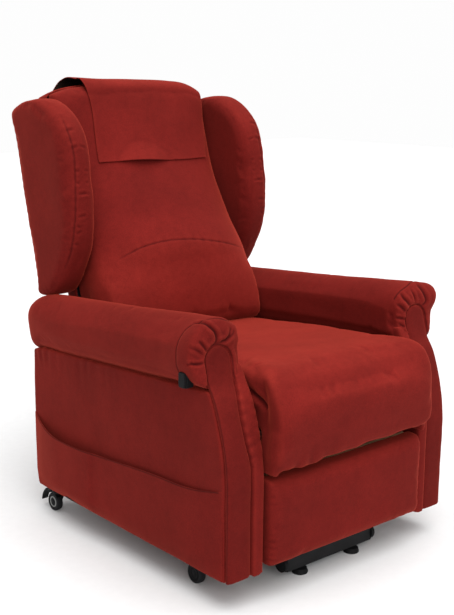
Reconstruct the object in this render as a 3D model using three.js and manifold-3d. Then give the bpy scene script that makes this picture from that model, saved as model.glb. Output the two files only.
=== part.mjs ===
// Lift recliner chair: upholstered shell, reclining wing back, power legrest, lift base on glides and
// braked casters. Millimetres, +Z up, the sitter faces -Y. Origin: centre of the footprint, on the floor.
import * as THREE from 'three';
import { mergeVertices } from 'three/addons/utils/BufferGeometryUtils.js';
import Module from 'manifold-3d';

const wasm = await Module();
wasm.setup();

// ---- driving dimensions -------------------------------------------------------------------------
const FRONT_Y = -455;            // front of the seat's waterfall
const REAR_Y = 526.55;           // rear of the head cover
const DEPTH_MID = (FRONT_Y + REAR_Y) / 2;
const GAP = 0.4;                 // clearance between neighbouring pieces

const ARM_IN = 256;              // inner face of an arm
const ARM_OUT = 361;             // outer face of a side panel
const ROLL_OUT = 384;            // outermost point of an arm roll
const SKIRT_Z = 71;              // underside of the side panels
const ARM_REAR = 377;            // rear face of the side panels
const FACING_IN = 297;           // inner edge of the narrow arm-front panel
const FACING_TOP = 587;          // top of its rounded head
const FACING_T = 12;             // its thickness
// Raked S of the arm front, as (y, z) from the floor to the roll.
const ARM_FRONT = [[-401, 71], [-401, 315], [-389, 389], [-364, 465], [-339, 509], [-327, 552], [-323, 650]];

const SEAT_HALF = 252;           // half width of the seat cushion
const LEAN = 13.6 * Math.PI / 180;
const HINGE = [260, 400];        // backrest pivot (y, z)
const BACK_HALF = 250;           // half width of the back cushion
const WING_IN = 251, WING_OUT = 330;
const COVER_HALF = 183;          // half width of the head cover

const LIFT_A = [-300, 75], LIFT_B = [10, 112];      // front lift arm: floor pivot, chair pivot
const REAR_A = [-259.7, 90.9], REAR_B = [200, 160];     // rear lift arm
const LIFT_MOTOR = [240, 110], LIFT_LEVER = 100, LIFT_LEVER_DEG = 60;
const LEG_O = [-190, 320], LEG_ARM = 220, LEG_ARM_DEG = 20, LEG_PANEL = [-350, 240], LEG_TAIL = 45;
const LEG_LEVER = 80, LEG_LEVER_DEG = -47.5;
const RECLINE_LEVER = 130, RECLINE_LEVER_DEG = -67.5, RECLINE_X = 70, LEG_X = -70;

const polar = (c, r, deg) => [c[0] + r * Math.cos(deg * Math.PI / 180), c[1] + r * Math.sin(deg * Math.PI / 180)];
const P1 = [LEG_O[0] + LEG_ARM * Math.sin(LEG_ARM_DEG * Math.PI / 180),
  LEG_O[1] - LEG_ARM * Math.cos(LEG_ARM_DEG * Math.PI / 180)];
const tailLen = Math.hypot(P1[0] - LEG_PANEL[0], P1[1] - LEG_PANEL[1]);
const TAIL = [(P1[0] - LEG_PANEL[0]) / tailLen * LEG_TAIL, (P1[1] - LEG_PANEL[1]) / tailLen * LEG_TAIL];
const O3 = [LEG_O[0] + TAIL[0], LEG_O[1] + TAIL[1]];
const P3 = [P1[0] + TAIL[0], P1[1] + TAIL[1]];
const LIFT_TIP = polar(LIFT_A, LIFT_LEVER, LIFT_LEVER_DEG);
const RECLINE_TIP = polar(HINGE, RECLINE_LEVER, RECLINE_LEVER_DEG);
const LEG_TIP = polar(LEG_O, LEG_LEVER, LEG_LEVER_DEG);

// ---- materials ----------------------------------------------------------------------------------
const mat = (color, roughness, metalness) => () => new THREE.MeshStandardMaterial({ color, roughness, metalness });
const suede = mat(0x8c3327, 0.95, 0);
const suedeDark = mat(0x7c2c22, 0.95, 0);
const backing = mat(0x3a1a16, 0.95, 0);
const steel = mat(0x1c1c1e, 0.45, 0.7);
const zinc = mat(0xb4b4b0, 0.35, 0.9);
const plastic = mat(0x141414, 0.5, 0);
const rubber = mat(0x202022, 0.85, 0);
const wood = mat(0xb08a5c, 0.75, 0);

// ---- geometry helpers ---------------------------------------------------------------------------
const V = (x, y, z) => new THREE.Vector3(x, y, z);

function clean(geometry) {
  const g = geometry.clone();
  g.deleteAttribute('normal');
  g.deleteAttribute('uv');
  return mergeVertices(g, 1e-4);
}

function toSolid(geometry) {
  const g = clean(geometry);
  return new wasm.Manifold(new wasm.Mesh({
    numProp: 3,
    vertProperties: new Float32Array(g.attributes.position.array),
    triVerts: new Uint32Array(g.index.array),
  }));
}

function toGeometry(manifold) {
  const mesh = manifold.getMesh();
  const g = new THREE.BufferGeometry();
  g.setAttribute('position', new THREE.BufferAttribute(new Float32Array(mesh.vertProperties), 3));
  g.setIndex(new THREE.BufferAttribute(new Uint32Array(mesh.triVerts), 1));
  return g;
}

const join = (...gs) => toGeometry(gs.map(toSolid).reduce((a, b) => a.add(b)));
const cut = (g, ...tools) => toGeometry(tools.map(toSolid).reduce((a, b) => a.subtract(b), toSolid(g)));
const overlap = (a, b) => toGeometry(toSolid(a).intersect(toSolid(b)));

function box(x0, x1, y0, y1, z0, z1) {
  return new THREE.BoxGeometry(x1 - x0, y1 - y0, z1 - z0)
    .translate((x0 + x1) / 2, (y0 + y1) / 2, (z0 + z1) / 2);
}

// Cylinder along x, y or z between two stations; a and b are its centre in the other two directions.
function rod(dir, r, a, b, from, to, seg = 16) {
  const g = new THREE.CylinderGeometry(r, r, to - from, seg);
  const mid = (from + to) / 2;
  if (dir === 'x') return g.rotateZ(-Math.PI / 2).translate(mid, a, b);
  if (dir === 'y') return g.translate(a, mid, b);
  return g.rotateX(Math.PI / 2).translate(a, b, mid);
}

// Side-view outline (y, z) extruded across x, with optional rounded rims and round holes [y, z, r].
function plate(outline, x0, x1, { round = 0, steps = 2, holes = [], seg = 8 } = {}) {
  const shape = new THREE.Shape(outline.map(([y, z]) => new THREE.Vector2(y, z)));
  for (const [y, z, r] of holes) shape.holes.push(new THREE.Path().absarc(y, z, r, 0, Math.PI * 2, true));
  const g = new THREE.ExtrudeGeometry(shape, {
    depth: x1 - x0 - 2 * round, steps: 1, curveSegments: seg, bevelEnabled: round > 0,
    bevelThickness: round, bevelSize: round, bevelOffset: -round, bevelSegments: steps,
  });
  g.translate(0, 0, x0 + round);
  return g.applyMatrix4(new THREE.Matrix4().makeBasis(V(0, 1, 0), V(0, 0, 1), V(1, 0, 0)));
}

// Outline of a round-ended bar between two pivots.
function barOutline(a, b, r, n = 6) {
  const t = Math.atan2(b[1] - a[1], b[0] - a[0]);
  const out = [];
  for (let i = 0; i <= n; i++) {
    const u = t - Math.PI / 2 + Math.PI * i / n;
    out.push([b[0] + r * Math.cos(u), b[1] + r * Math.sin(u)]);
  }
  for (let i = 0; i <= n; i++) {
    const u = t + Math.PI / 2 + Math.PI * i / n;
    out.push([a[0] + r * Math.cos(u), a[1] + r * Math.sin(u)]);
  }
  return out;
}
const bar = (a, b, r, x0, x1, holes) => plate(barOutline(a, b, r), x0, x1, { holes });

// Closed skin through a row of rings that all hold the same number of points.
function loft(rings) {
  const n = rings[0].length;
  const pos = rings.flat().flatMap((p) => [p.x, p.y, p.z]);
  const idx = [];
  for (let k = 0; k + 1 < rings.length; k++) {
    for (let i = 0; i < n; i++) {
      const a = k * n + i, b = k * n + (i + 1) % n;
      idx.push(a, b, b + n, a, b + n, a + n);
    }
  }
  for (const [k, flip] of [[0, true], [rings.length - 1, false]]) {
    const ring = rings[k];
    const normal = V(0, 0, 0);
    ring.forEach((p, i) => normal.add(p.clone().cross(ring[(i + 1) % n])));
    const u = V(0, 0, 0).subVectors(ring[1], ring[0]).normalize();
    const w = normal.normalize().clone().cross(u);
    const flat = ring.map((p) => new THREE.Vector2(p.dot(u), p.dot(w)));
    for (const [a, b, c] of THREE.ShapeUtils.triangulateShape(flat, [])) {
      idx.push(...(flip ? [k * n + a, k * n + c, k * n + b] : [k * n + a, k * n + b, k * n + c]));
    }
  }
  const g = new THREE.BufferGeometry();
  g.setAttribute('position', new THREE.BufferAttribute(new Float32Array(pos), 3));
  g.setIndex(idx);
  return outward(g);
}

// Turns every face over where the skin encloses a negative volume.
function outward(g) {
  const p = g.attributes.position, ix = g.index.array;
  let volume = 0;
  for (let i = 0; i < ix.length; i += 3) {
    const [a, b, c] = [0, 1, 2].map((k) => new THREE.Vector3().fromBufferAttribute(p, ix[i + k]));
    volume += a.dot(b.cross(c));
  }
  if (volume > 0) return g;
  const flipped = [];
  for (let i = 0; i < ix.length; i += 3) flipped.push(ix[i], ix[i + 2], ix[i + 1]);
  g.setIndex(flipped);
  return g;
}

// The same piece on the other side of the chair.
function mirrored(geometry) {
  const g = clean(geometry);
  g.applyMatrix4(new THREE.Matrix4().makeScale(-1, 1, 1));
  return outward(g);
}

const lerp = (a, b, t) => a + (b - a) * t;
// Value of a table of [key, value] rows at a key, straight lines between rows.
function along(table, key) {
  if (key <= table[0][0]) return table[0][1];
  for (let i = 1; i < table.length; i++) {
    const [k0, v0] = table[i - 1], [k1, v1] = table[i];
    if (key <= k1) return lerp(v0, v1, (key - k0) / (k1 - k0));
  }
  return table[table.length - 1][1];
}
const armFrontY = (z) => along(ARM_FRONT.map(([y, h]) => [h, y]), z);

// ---- scene graph --------------------------------------------------------------------------------
const root = new THREE.Group();
const chair = new THREE.Group();
chair.position.y = -DEPTH_MID;
root.add(chair);
// Backrest frame: x across, y rearward of the hinge, z up along the lean.
const back = new THREE.Group();
back.position.set(0, HINGE[0], HINGE[1]);
back.rotation.x = -LEAN;
chair.add(back);

function put(name, geometry, material, group = chair) {
  const mesh = new THREE.Mesh(geometry, material());
  mesh.name = name;
  group.add(mesh);
}
function putPair(name, geometry, material, group = chair) {
  put(`${name}_left`, geometry, material, group);
  put(`${name}_right`, mirrored(geometry), material, group);
}

// ---- lift base ----------------------------------------------------------------------------------
{
  const rail = (x0, x1) => box(x0, x1, -340, 270, 22, 52);
  const bracketOutline = [[-322, 40], [-236, 40], [-242, 98], [-252, 106], [-268, 106], [-312, 92], [-322, 80]];
  const bracket = (x0, x1) => plate(bracketOutline, x0, x1, { holes: [[LIFT_A[0], LIFT_A[1], 8.4]] });
  const frame = join(
    rail(100, 130), rail(-130, -100),
    box(-142, 142, -360, -332, 20, 55),
    box(-142, 142, 250, 280, 20, 52),
    bracket(111, 119), bracket(-119, -111),
    rod('x', 7, ...REAR_A, 112, 132), rod('x', 7, ...REAR_A, -132, -112),
    box(-18, 18, 226, 262, 40, 83),
  );
  put('base_frame', frame, steel);
  for (const [side, s] of [['left', 1], ['right', -1]]) {
    const cap = join(rod('x', 19, -346, 37.5, 142.4, 152, 20), box(142.2, 146, -359, -333, 21, 54));
    put(`crossbar_cap_${side}`, s > 0 ? cap : mirrored(cap), plastic);
    for (const [end, y] of [['front', -346], ['rear', 265]]) {
      const profile = [[0, 0], [19, 0], [20, 3], [17, 12], [9, 15], [9, 19.6], [0, 19.6]];
      const glide = new THREE.LatheGeometry(profile.map(([r, h]) => new THREE.Vector2(r, h)), 20)
        .rotateX(Math.PI / 2).translate(s * 88, y, 0);
      put(`glide_${end}_${side}`, glide, plastic);
    }
  }
  put('front_shaft', rod('x', 8, ...LIFT_A, -124, 124, 20), zinc);
}

// Straight-line actuator lying along local y: motor and tube behind, slotted yoke in front at (0, 0).
// Its rod points to -y; length is the distance from the yoke's pin to the tube's rear end.
function actuatorBody(length, mouth, tubeR, bore) {
  const tube = rod('y', tubeR, 0, 0, mouth, length, 20);
  const gearbox = box(-26, 26, length - 62, length, -26, 24);
  const motor = rod('y', 22, 0, 44, length - 150, length - 8, 20);
  const neck = box(-16, 16, length - 60, length - 10, 10, 40);
  const solid = join(tube, gearbox, motor, neck);
  return cut(solid, rod('y', bore, 0, 0, mouth - 5, length - 70, 16));
}
function actuatorRod(reach, r, slotHalfY, slotLow, slotHigh, halfX) {
  const yoke = box(-halfX, halfX, -14, 16, -slotLow - 8, slotHigh + 8);
  const shaft = rod('y', r, 0, 0, 10, reach, 16);
  return cut(join(yoke, shaft), box(-halfX - 2, halfX + 2, -slotHalfY, slotHalfY, -slotLow, slotHigh));
}

// ---- lift linkage -------------------------------------------------------------------------------
{
  const tube = cut(
    join(
      rod('x', 15, ...LIFT_A, -102, 102, 20),
      bar(LIFT_A, LIFT_B, 14, 96, 102, [[...LIFT_B, 6.5]]),
      bar(LIFT_A, LIFT_B, 14, -102, -96, [[...LIFT_B, 6.5]]),
      bar(LIFT_A, LIFT_TIP, 11, 11, 16, []),
      bar(LIFT_A, LIFT_TIP, 11, -16, -11, []),
      rod('x', 6, ...LIFT_TIP, -13, 13),
    ),
    rod('x', 8.4, ...LIFT_A, -104, 104, 20),
  );
  put('lift_arm_front', tube, steel);
  putPair('lift_arm_rear', bar(REAR_A, REAR_B, 13, 124, 130, [[...REAR_A, 7.4], [...REAR_B, 6.5]]), steel);

  const dy = LIFT_MOTOR[0] - LIFT_TIP[0], dz = LIFT_MOTOR[1] - LIFT_TIP[1];
  const line = new THREE.Group();
  line.position.set(0, LIFT_TIP[0], LIFT_TIP[1]);
  line.rotation.x = Math.atan2(dz, dy);
  chair.add(line);
  const length = Math.hypot(dy, dz);
  put('lift_actuator_housing', actuatorBody(length, 130, 19, 9.6), plastic, line);
  put('lift_actuator_rod', actuatorRod(300, 9, 7.4, 8, 17.5, 8), zinc, line);
}

// ---- chair subframe -----------------------------------------------------------------------------
{
  // The rear post is waisted, which leaves room for the back shell's lower edge when the back reclines.
  const sideOutline = [[-215, 172], [300, 172], [300, 205], [258, 235], [258, 340], [286, 385], [286, 405],
    [276, 422], [244, 422], [234, 405], [234, 376], [-205, 376], [-215, 340]];
  const window = [[-122, 214], [234, 214], [234, 350], [-122, 350]];
  const cheek = (x0, x1) => cut(plate(sideOutline, x0, x1), plate(window, x0 - 2, x1 + 2));
  const stub = (c, r, a, b) => [rod('x', r, ...c, a, b), rod('x', r, ...c, -b, -a)];
  put('subframe', join(
    cheek(246, 252), cheek(-252, -246),
    box(-248, 248, -3, 23, 190, 215), box(-248, 248, 187, 213, 190, 215),
    box(-248, 248, -112, -88, 352, 376), box(-248, 248, 188, 212, 352, 376),
    ...stub(LEG_O, 6, 222, 248), ...stub(O3, 5, 236, 248), ...stub(HINGE, 8, 224, 248),
    box(RECLINE_X - 12, RECLINE_X + 12, -1, 21, 210, 259.5),
    box(LEG_X - 12, LEG_X + 12, -1, 21, 210, 240.5),
  ), steel);

  // Hanger rail under the cross members, with the two pivots that the lift arms carry.
  const ear = ([y, z], x0, x1) => plate([[y - 14, 187], [y - 14, z], [y - 9, z - 11], [y + 9, z - 11],
    [y + 14, z], [y + 14, 187]], x0, x1);
  putPair('lift_hanger', join(
    box(104, 140, -4, 214, 183, 189.6), ear(LIFT_B, 104, 110), ear(REAR_B, 134, 140),
    rod('x', 6, ...LIFT_B, 94, 106), rod('x', 6, ...REAR_B, 122, 136),
  ), steel);

  put('seat_deck', plate([[-392, 377], [228, 377], [228, 389], [-392, 389]], -244, 244), backing);

  const recline = actuatorBody(400, 120, 20, 9.6);
  recline.rotateZ(Math.PI).translate(RECLINE_X, RECLINE_TIP[0], RECLINE_TIP[1]);
  put('recline_actuator_housing', recline, plastic);
  put('legrest_actuator_housing',
    actuatorBody(330, 60, 20, 9.6).translate(LEG_X, LEG_TIP[0], LEG_TIP[1]), plastic);

  const inlet = join(box(140, 215, 160, 236, 215.4, 252), box(160, 186, 234, 246, 222, 244));
  put('control_box', cut(inlet, box(164, 182, 238, 250, 226, 240)), plastic);
  put('rear_panel', plate([[352, 75], [364, 75], [364, 330], [361, 335], [355, 335], [352, 330]], -255, 255), suedeDark);
}

// ---- arms ---------------------------------------------------------------------------------------
const seamZ = (y) => 492 - 0.06 * (y + 327);
const rollTopZ = (y) => 645 - 0.076 * (y + 340);

function armSide() {
  const front = (offset, top) => {
    const rows = ARM_FRONT.filter(([, z]) => z < top).map(([y, z]) => [y + offset, z]);
    rows.push([armFrontY(top) + offset, top]);
    return rows;
  };
  const topFront = seamZ(-335), body = front(FACING_T + GAP, topFront), padded = front(-5, topFront - 3);
  const outline = [...body, [ARM_REAR, seamZ(ARM_REAR)], [ARM_REAR, 112], [360, 84], [332, SKIRT_Z]];
  const band = [...padded, [-300, topFront - 3], [-300, SKIRT_Z]];
  const core = join(plate(outline, ARM_IN, ARM_OUT, { round: 4, steps: 1 }),
    plate(band, ARM_IN, FACING_IN - GAP, { round: 6, steps: 2 }));
  return cut(core, rod('z', 5.4, 309, -250, 60, 80, 12), rod('z', 5.4, 333, 326, 60, 80, 12));
}

function armRoll() {
  // [y, size] stations along the roll; the first three follow the S of the arm front.
  const stations = [[0, 0.8], [7, 0.94], [26, 1], [120, 1], [240, 1], [420, 1], [560, 1], [656, 1],
    [678, 0.93], [692, 0.84], [703, 0.7], [710, 0.45]];
  const start = armFrontY(FACING_TOP) + 3;
  const n = 20, cx = (ARM_IN + ROLL_OUT) / 2, hw = (ROLL_OUT - ARM_IN) / 2;
  const rings = stations.map(([dy, size], k) => {
    const y0 = start + dy, low = seamZ(y0) + GAP, top = rollTopZ(y0), mid = lerp(low, top, 0.58);
    const ring = [];
    for (let i = 0; i < n; i++) {
      const a = 2 * Math.PI * (i + 0.5) / n, c = Math.cos(a), s = Math.sin(a), e = s > 0 ? 0.9 : 0.55;
      const z0 = s > 0 ? mid + (top - mid) * s ** e * size : mid - (mid - low) * (-s) ** e * size;
      const x = cx + Math.sign(c) * Math.abs(c) ** e * hw * size;
      const follow = k < 3 ? armFrontY(z0) + 3 - start : 0;
      const y = y0 + follow;
      ring.push(V(x, y, Math.max(z0, seamZ(y) + GAP)));
    }
    return ring;
  });
  return cut(loft(rings), keyhole(-80, FACING_T + GAP, GAP, 0));
}

// Arm-front panel with a round head, between two offsets behind the S and grown by a margin.
function keyhole(from, to, grow, round) {
  const rear = [...ARM_FRONT].reverse().map(([y, z]) => [y + to, z]);
  const front = ARM_FRONT.map(([y, z]) => [y + from, z]);
  const strip = plate([...front, ...rear], FACING_IN - grow, ARM_OUT + grow, { round, steps: 1 });
  const w = (ARM_OUT - FACING_IN) / 2 + grow, cx = (ARM_OUT + FACING_IN) / 2, head = FACING_TOP + grow - w;
  const key = new THREE.Shape();
  key.moveTo(cx - w, SKIRT_Z - 5);
  key.lineTo(cx + w, SKIRT_Z - 5);
  key.absarc(cx, head, w, 0, Math.PI, false);
  const prism = new THREE.ExtrudeGeometry(key, { depth: 300, bevelEnabled: false, curveSegments: 8 })
    .rotateX(Math.PI / 2).translate(0, -200, 0);
  return overlap(strip, prism);
}
putPair('side_panel', armSide(), suede);
const roll = armRoll();
putPair('arm_roll', roll, suede);
putPair('arm_facing', keyhole(0, FACING_T, 0, 3), suedeDark);

{
  const rollRight = mirrored(roll);
  const clip = cut(box(-383, -361.6, -289, -259, 484, 530), rollRight.clone().translate(-0.5, 0, -0.5), rollRight);
  put('handset_clip', clip, plastic);
}

// ---- side pocket and handset --------------------------------------------------------------------
{
  const edgeZ = [[-384, 284], [-275, 262], [-127, 255], [79, 241], [249, 237], [368, 271]];
  const bulge = [[-384, 4], [-275, 17], [-127, 21], [79, 22], [249, 20], [368, 4]];
  const wall = ARM_OUT + 0.3;
  const ringAt = (y, inset, lift) => {
    const out = wall + along(bulge, y) - inset, top = along(edgeZ, y) + lift, low = 75 + inset * 2;
    const inner = wall + inset * 0.01;
    return [V(-inner, y, low), V(-inner - 2 - 0.3 * inset, y, low), V(-out + 3, y, low + 22), V(-out, y, 150),
      V(-out, y, top - 25), V(-out, y, top), V(-inner, y, top)];
  };
  const ys = [-384, -330, -275, -127, 79, 249, 320, 368];
  const outer = loft(ys.map((y) => ringAt(y, 0, 0)));
  const inner = loft([-362, -330, -275, -127, 79, 249, 320, 350].map((y) => ringAt(y, 2.4, 30)));
  const opened = inner.clone().translate(1.5, 0, 0);
  put('side_pocket', cut(outer, inner, opened), suede);

  const shell = plate([[132, 112], [136, 108], [182, 108], [186, 112], [186, 222], [182, 226], [136, 226], [132, 222]],
    -376.6, -363.8, { round: 2.5, steps: 1 });
  const wells = [[159, 196], [159, 166]].map(([y, z]) => rod('x', 8.4, y, z, -379, -371, 16));
  put('handset_shell', cut(shell, ...wells), plastic);
  const buttonSteel = mat(0x9a9a98, 0.6, 0);
  put('handset_button_up', rod('x', 8, 159, 196, -377.8, -373.4, 16), buttonSteel);
  put('handset_button_down', rod('x', 8, 159, 166, -377.8, -373.4, 16), buttonSteel);
}

// ---- casters ------------------------------------------------------------------------------------
for (const [end, x, swivelY, wheelY] of [['front', 309, -250, -232], ['rear', 333, 326, 344]]) {
  const cheekOutline = [[swivelY - 8, 60], [swivelY - 8, 54], [wheelY - 8, 20], [wheelY + 8, 20],
    [wheelY + 12, 50], [wheelY + 12, 60]];
  const parts = [
    rod('z', 17, x, swivelY, 58, 70.5, 20), rod('z', 5, x, swivelY, 69, 78, 12),
    plate(cheekOutline, x + 10.5, x + 13.5), plate(cheekOutline, x - 13.5, x - 10.5),
    box(x - 13, x + 13, swivelY - 8, wheelY + 1, 56, 60), rod('x', 3, wheelY, 25, x - 12, x + 12, 12),
  ];
  if (end === 'rear') parts.push(rod('x', 2, wheelY + 7, 56, x - 12, x + 12, 8));
  putPair(`caster_fork_${end}`, join(...parts), plastic);

  const half = 9;
  const profile = [[3.4, -half], [17.5, -half], [22.5, -half], [25, -half + 3], [25, half - 3], [22.5, half],
    [17.5, half], [3.4, half], [3.4, -half]];
  const wheel = new THREE.LatheGeometry(profile.map(([r, h]) => new THREE.Vector2(r, h)), 20)
    .rotateZ(Math.PI / 2).translate(x, wheelY, 25);
  putPair(`caster_wheel_${end}`, outward(clean(wheel)), rubber);

  if (end === 'rear') {
    const pedal = plate([[wheelY + 3, 60], [wheelY + 3, 52.5], [wheelY + 14, 51.5], [wheelY + 32, 40],
      [wheelY + 41, 38], [wheelY + 42, 41], [wheelY + 18, 59]], x - 9.5, x + 9.5, { holes: [[wheelY + 7, 56, 2.4]] });
    putPair('brake_pedal', pedal, plastic);
  }
}

// ---- seat ---------------------------------------------------------------------------------------
{
  const top = [[225, 465], [168, 477], [47, 488], [-116, 506], [-259, 514], [-351, 517], [-416, 512]];
  const drop = [[-441, 480], [-455, 432], [-453, 382], [-449, 343], [-444, 314], [-436, 305], [-425, 306],
    [-411, 330], [-404, 389.6], [225, 389.6]];
  put('seat_cushion', plate([...top, ...drop], -SEAT_HALF, SEAT_HALF, { round: 10, steps: 2 }), suede);
}

// ---- backrest -----------------------------------------------------------------------------------
// Front of the back cushion beside the wings and on its centre line, as (height, depth) rows.
const BACK_EDGE = [[74, -108], [153, -106], [231, -72], [305, -34], [394, -12], [483, 6], [598, 10], [700, 6]];
const BACK_CROWN = [[74, -118], [153, -148], [231, -166], [295, -172], [394, -112], [522, -50], [640, -26],
  [755, -10]];
const CUSHION_REAR = 38;
function cushionFront(x, h) {
  const t = Math.max(0, 1 - (x / BACK_HALF) ** 2) ** 0.6;
  return lerp(along(BACK_EDGE, h), along(BACK_CROWN, h), t);
}
const cushionTop = (x) => 752 - 26 * Math.abs(x / BACK_HALF) ** 4;
{
  const heights = [74, 110, 153, 195, 231, 265, 295, 340, 394, 455, 522, 600, 690];
  const stations = [-250, -243, -218, -183, -100, 0, 100, 183, 218, 243, 250];
  const rings = stations.map((x) => {
    const top = cushionTop(x), tuck = Math.abs(x) > 249 ? 14 : 0;
    const ring = heights.map((h) => V(x, cushionFront(x, h) + tuck, h === 74 ? h + tuck * 0.5 : h));
    ring.push(V(x, cushionFront(x, 700) + tuck + 2, top - 26), V(x, 4 + tuck * 0.5, top - 7),
      V(x, 20, top), V(x, CUSHION_REAR, top + 4), V(x, CUSHION_REAR, 74));
    return ring;
  });
  put('back_cushion', loft(rings), suede, back);

  const rail = (x0, x1, z0, z1) => box(x0, x1, 40, 62, z0, z1);
  const lug = [[-17, -14], [-10, -18], [12, -18], [30, 36], [58, 42], [58, 110], [41, 110], [41, 71], [10, 68],
    [-17, 30]];
  put('back_frame', cut(join(
    rail(-244, 244, 40, 100), rail(-244, 244, 680, 716), rail(204, 244, 90, 700), rail(-244, -204, 90, 700),
    rail(-210, 210, 360, 400),
    plate(lug, 237, 243), plate(lug, -243, -237),
    rod('x', 14, 0, 0, -240, 240, 20),
    ...[[9, 15], [-15, -9]].map(([a, b]) => {
      const tip = [RECLINE_TIP[0] - HINGE[0], RECLINE_TIP[1] - HINGE[1]];
      const c = Math.cos(LEAN), s = Math.sin(LEAN);
      const local = [tip[0] * c - tip[1] * s, tip[0] * s + tip[1] * c];
      return join(bar([0, 0], local, 13, RECLINE_X + a, RECLINE_X + b, []),
        rod('x', 5, ...local, RECLINE_X - 12, RECLINE_X + 12));
    }),
  ), rod('x', 8.4, 0, 0, -250, -215, 20), rod('x', 8.4, 0, 0, 215, 250, 20)), steel, back);

  const shellRing = (x, trim) => {
    const top = cushionTop(x) - trim;
    return [V(x, 64, trim - 30), V(x, 85 - trim, trim - 30), V(x, 85 - trim, top - 10), V(x, 78 - trim, top),
      V(x, 64, top - 4)];
  };
  const shellStations = [[-249.5, 5], [-245, 0], [-215, 0], [-170, 0], [0, 0], [170, 0], [215, 0], [245, 0], [249.5, 5]];
  put('back_shell', loft(shellStations.map(([x, trim]) => shellRing(x, trim))), suede, back);

  const wing = [[85, 217], [85, 702], [7, 713], [-45, 710], [-95, 684], [-128, 645], [-146, 595], [-150, 532],
    [-147, 470], [-142, 404], [-131, 342], [-109, 293], [-70, 254], [-20, 226], [9, 213], [45, 213]];
  putPair('back_wing', plate(wing, WING_IN, WING_OUT, { round: 24, steps: 3 }), suede, back);

  const path = (x, off) => {
    const top = cushionTop(x);
    return [
      ...[522, 600, 690].map((h) => V(x, cushionFront(x, h) - off, h)),
      V(x, cushionFront(x, 700) + 1 - off, top - 24), V(x, 2 - off * 0.8, top - 3 + off * 0.6),
      V(x, 20, top + 3 + off), V(x, 60, top + 16 + off), V(x, 84 + off * 0.7, top + 20 + off * 0.7),
      V(x, 86 + off, top - 2), V(x, 86 + off, 650),
    ];
  };
  const sheet = [COVER_HALF, 100, 0, -100, -COVER_HALF].map((x) =>
    [...path(x, 4), ...path(x, 1).reverse()]);
  put('head_cover', loft(sheet), suede, back);
}

// ---- legrest ------------------------------------------------------------------------------------
{
  const tip = LEG_TIP;
  putPair('legrest_arm', join(bar(LEG_O, P1, 11, 224, 229, [[...LEG_O, 6.4]]), rod('x', 5, ...P1, 226, 236.4)),
    steel);
  put('legrest_cross_tube', cut(join(
    rod('x', 12, ...LEG_O, -223.6, 223.6, 20),
    bar(LEG_O, tip, 10, LEG_X + 9, LEG_X + 14, []), bar(LEG_O, tip, 10, LEG_X - 14, LEG_X - 9, []),
    rod('x', 5, ...tip, LEG_X - 12, LEG_X + 12),
  ), rod('x', 6.4, ...LEG_O, 200, 230), rod('x', 6.4, ...LEG_O, -230, -200)), steel);
  putPair('legrest_coupler', bar(P3, LEG_PANEL, 10, 231, 236, [[...P3, 5.4], [...P1, 5.4], [...LEG_PANEL, 5.4]]),
    steel);
  putPair('legrest_guide', join(bar(O3, P3, 10, 238, 243, [[...O3, 5.4]]), rod('x', 5, ...P3, 230.6, 240)), steel);

  const ear = [[-366, 214], [-350, 226], [-338, 236], [-338, 246], [-350, 256], [-366, 266]];
  put('legrest_board', join(
    box(-244, 244, -374.6, -362, 92, 280),
    plate(ear, 224, 229), plate(ear, -229, -224),
    rod('x', 5, ...LEG_PANEL, 226, 236.4), rod('x', 5, ...LEG_PANEL, -236.4, -226),
  ), wood);
  put('legrest_panel', plate([[-375, 82], [-375, 291], [-390, 292], [-412, 290], [-422, 280], [-425, 262],
    [-425, 100], [-420, 84], [-410, 80], [-385, 80]], -254, 254, { round: 7, steps: 2 }), suede);

  put('legrest_actuator_rod', outward(clean(actuatorRod(240, 8, 7.8, 8, 29, 7).scale(1, 1, -1)))
    .translate(LEG_X, tip[0], tip[1]), zinc);
  put('recline_actuator_rod', actuatorRod(200, 8, 6.4, 7, 17, 7).rotateX(Math.PI)
    .translate(RECLINE_X, RECLINE_TIP[0], RECLINE_TIP[1]), zinc);
}

export default root;
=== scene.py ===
"""Looks of the lift recliner chair, in Blender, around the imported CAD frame.

Shapes are written in millimetres in the chair's own frame: x across, y rearward, z up, with the sitter
facing -y and the sitter's left at +x. Backrest pieces use (x, depth, height), measured from the recline
hinge along the leaning back. Both are turned into the row frame's metres when a mesh is made.
"""
import math
from functools import lru_cache, partial

import bmesh
import bpy
import numpy as np
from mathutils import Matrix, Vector


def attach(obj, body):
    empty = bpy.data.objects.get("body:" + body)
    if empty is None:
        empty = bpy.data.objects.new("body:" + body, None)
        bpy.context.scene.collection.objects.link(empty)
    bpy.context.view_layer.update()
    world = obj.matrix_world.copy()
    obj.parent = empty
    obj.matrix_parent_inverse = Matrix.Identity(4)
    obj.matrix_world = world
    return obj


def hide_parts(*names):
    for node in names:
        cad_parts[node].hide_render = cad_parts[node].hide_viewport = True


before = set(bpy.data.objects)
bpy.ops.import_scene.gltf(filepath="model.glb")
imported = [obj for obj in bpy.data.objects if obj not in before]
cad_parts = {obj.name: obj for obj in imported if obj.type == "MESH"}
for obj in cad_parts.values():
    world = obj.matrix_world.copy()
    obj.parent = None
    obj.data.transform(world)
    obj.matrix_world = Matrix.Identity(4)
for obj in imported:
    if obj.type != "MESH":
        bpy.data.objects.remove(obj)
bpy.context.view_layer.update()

# ---- driving sizes ------------------------------------------------------------------------------
DEPTH_MID = 35.775  # y of the row frame's origin
ARM_IN, ARM_OUT, ROLL_OUT = 256, 361, 384
SKIRT_Z, ARM_REAR = 70, 387
KEY_T, KEY_OUT = 12, 360
HEAD_X, HEAD_Z, HEAD_R = 322.5, 549.5, 37.5  # round head of the arm-front panel
# Inner edge of the arm-front panel, as (height, x).
KEY_INNER = [(60, 290), (301, 290), (340, 292), (380, 298.5), (430, 300), (470, 296), (504, 288),
             (550, 284.5)]
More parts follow.
